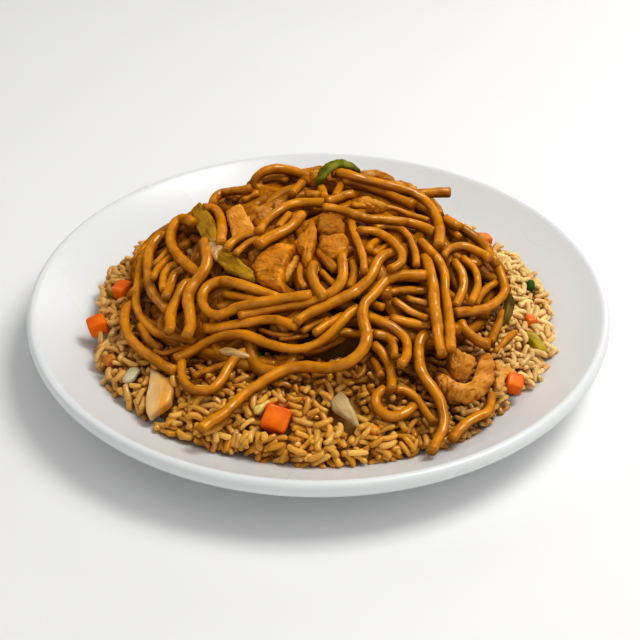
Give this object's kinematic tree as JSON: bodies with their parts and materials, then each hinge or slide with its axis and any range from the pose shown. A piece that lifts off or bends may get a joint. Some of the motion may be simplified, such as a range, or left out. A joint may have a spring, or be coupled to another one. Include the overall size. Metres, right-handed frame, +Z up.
{
  "type": "plate of lo mein on fried rice",
  "caption": "Heap of thick sauced noodles with chicken and celery pieces on a bed of fried rice with diced carrot and onion, served in a shallow round plate.",
  "frame": {"origin": "middle of the plate's foot, on the surface the plate stands on", "axes": "+Z up, the side shown in the picture faces -Y, +X to its right"},
  "size_m": [0.24, 0.24, 0.069],
  "materials": {
    "porcelain": "white glazed porcelain",
    "rice": "fried rice grains, lightly sauced",
    "noodle": "glossy soy-glazed wheat noodles",
    "chicken": "braised chicken with a thin glaze",
    "celery": "cooked celery stalk",
    "greens": "cooked green vegetable",
    "carrot": "moist diced carrot",
    "onion": "translucent cooked onion"
  },
  "bodies": {
    "root": {"plate": "porcelain", "fried_rice": "rice", "noodles": "noodle", "chicken_slice_large": "chicken", "chicken_slab_left": "chicken", "chicken_strip_middle": "chicken", "chicken_round_back": "chicken", "chicken_cube_front": "chicken", "chicken_sliver": "chicken", "chicken_bit_back": "chicken", "chicken_bit_deep": "chicken", "chicken_bit_left": "chicken", "chicken_crown": "chicken", "chicken_crown_right": "chicken", "chicken_tail": "chicken", "chicken_long": "chicken", "chicken_curl": "chicken", "chicken_in_curl": "chicken", "chicken_edge_right": "chicken", "celery_upper": "celery", "celery_lower": "celery", "celery_joint": "onion", "celery_right": "celery", "green_ring": "greens", "green_bit_right": "greens", "green_slab_right": "greens", "carrot_front": "carrot", "carrot_left_low": "carrot", "carrot_left_high": "carrot", "carrot_bit_left": "carrot", "carrot_right": "carrot", "carrot_back_right": "carrot", "onion_slice_left": "onion", "onion_petal_front": "onion", "onion_bit_left": "onion"}
  },
  "joints": []
}
